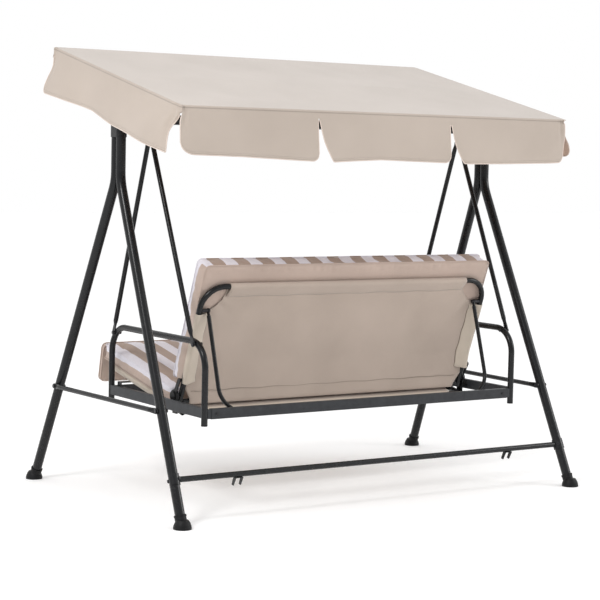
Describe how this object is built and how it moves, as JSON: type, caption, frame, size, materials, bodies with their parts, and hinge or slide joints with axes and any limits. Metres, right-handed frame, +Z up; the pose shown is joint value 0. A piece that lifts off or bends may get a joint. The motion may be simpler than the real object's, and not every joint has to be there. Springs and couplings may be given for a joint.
{
  "type": "canopy swing bench",
  "caption": "Garden swing bench hung from two A-frames, with reclining backrest, striped cushions and a tilting cloth canopy with flared valances.",
  "frame": {"origin": "on the ground under the middle of the overall box", "axes": "+Z up, +X along the bench towards the sitter's left, -Y the way the sitter looks"},
  "size_m": [2.018, 1.226, 1.7728],
  "materials": {
    "frame_paint": "satin charcoal powder coat",
    "rail_paint": "satin charcoal powder coat",
    "hinge_paint": "satin black",
    "foot_plastic": "moulded black plastic",
    "knob_plastic": "moulded black plastic",
    "bolt_steel": "black zinc",
    "canopy_cloth": "woven polyester, pale beige",
    "valance_cloth": "woven polyester, beige",
    "sling_cloth": "woven polyester, beige",
    "cushion_cloth": "woven cotton with white and taupe stripes"
  },
  "bodies": {
    "stand": {"canopy_brackets": "frame_paint", "crossbar_clips": "frame_paint", "crossbar_saddles": "frame_paint", "foot_front_left": "foot_plastic", "foot_front_right": "foot_plastic", "foot_rear_left": "foot_plastic", "foot_rear_right": "foot_plastic", "hanger_brackets": "frame_paint", "hanger_pins": "bolt_steel", "leg_front_left": "frame_paint", "leg_front_right": "frame_paint", "leg_rear_left": "frame_paint", "leg_rear_right": "frame_paint", "post_sockets": "frame_paint", "rear_crossbar": "frame_paint", "side_spreader_left": "frame_paint", "side_spreader_right": "frame_paint", "stand_bolts": "bolt_steel", "top_beam": "frame_paint"},
    "swing": {"arm_bolts": "bolt_steel", "arm_left": "frame_paint", "arm_plugs": "foot_plastic", "arm_right": "frame_paint", "front_rail": "rail_paint", "hanger_rod_front_left": "frame_paint", "hanger_rod_front_right": "frame_paint", "hanger_rod_rear_left": "frame_paint", "hanger_rod_rear_right": "frame_paint", "hinge_axles": "hinge_paint", "hinge_lower_leaves": "hinge_paint", "rail_bolts": "bolt_steel", "rail_inserts": "rail_paint", "rear_rail": "rail_paint", "seat_cushion": "cushion_cloth", "seat_loop": "frame_paint", "seat_rear_tube": "frame_paint", "seat_sling": "sling_cloth", "seat_supports": "frame_paint", "side_rail_left": "rail_paint", "side_rail_right": "rail_paint"},
    "backrest": {"back_bottom_tube": "frame_paint", "back_cushion": "cushion_cloth", "back_loop": "frame_paint", "back_sling": "sling_cloth", "hinge_upper_leaves": "hinge_paint", "prop_pins": "bolt_steel"},
    "prop": {"back_prop": "frame_paint"},
    "canopy": {"canopy_bow_front": "frame_paint", "canopy_bow_rear": "frame_paint", "canopy_cross_tube": "frame_paint", "canopy_lugs": "frame_paint", "canopy_ribs": "frame_paint", "canopy_splices": "frame_paint", "canopy_top": "canopy_cloth", "canopy_valance_front": "valance_cloth", "canopy_valance_left": "valance_cloth", "canopy_valance_rear": "valance_cloth", "canopy_valance_right": "valance_cloth"},
    "knob_left": {"canopy_knob_left": "knob_plastic"},
    "knob_right": {"canopy_knob_right": "knob_plastic"}
  },
  "joints": [
    {"name": "swing_hang", "type": "hinge", "parent": "stand", "child": "swing", "pos_m": [0, -0.021, 1.442], "axis": [1, 0, 0], "range_deg": [-15, 15]},
    {"name": "backrest_recline", "type": "hinge", "parent": "swing", "child": "backrest", "pos_m": [0, 0.109, 0.415], "axis": [-1, 0, 0], "range_deg": [0, 60]},
    {"name": "prop_fold", "type": "hinge", "parent": "backrest", "child": "prop", "pos_m": [0, 0.25384, 0.75621], "axis": [-1, 0, 0], "range_deg": [0, 25.4]},
    {"name": "canopy_tilt", "type": "hinge", "parent": "stand", "child": "canopy", "pos_m": [0, -0.021, 1.598], "axis": [1, 0, 0], "range_deg": [-13, 10]},
    {"name": "knob_turn_left", "type": "hinge", "parent": "stand", "child": "knob_left", "pos_m": [0.8645, -0.021, 1.598], "axis": [1, 0, 0], "continuous": true},
    {"name": "knob_turn_right", "type": "hinge", "parent": "stand", "child": "knob_right", "pos_m": [-0.8645, -0.021, 1.598], "axis": [1, 0, 0], "continuous": true}
  ],
  "couplings": [
    {"joint": "prop_fold", "follows": "backrest_recline", "ratio": 0.42}
  ]
}
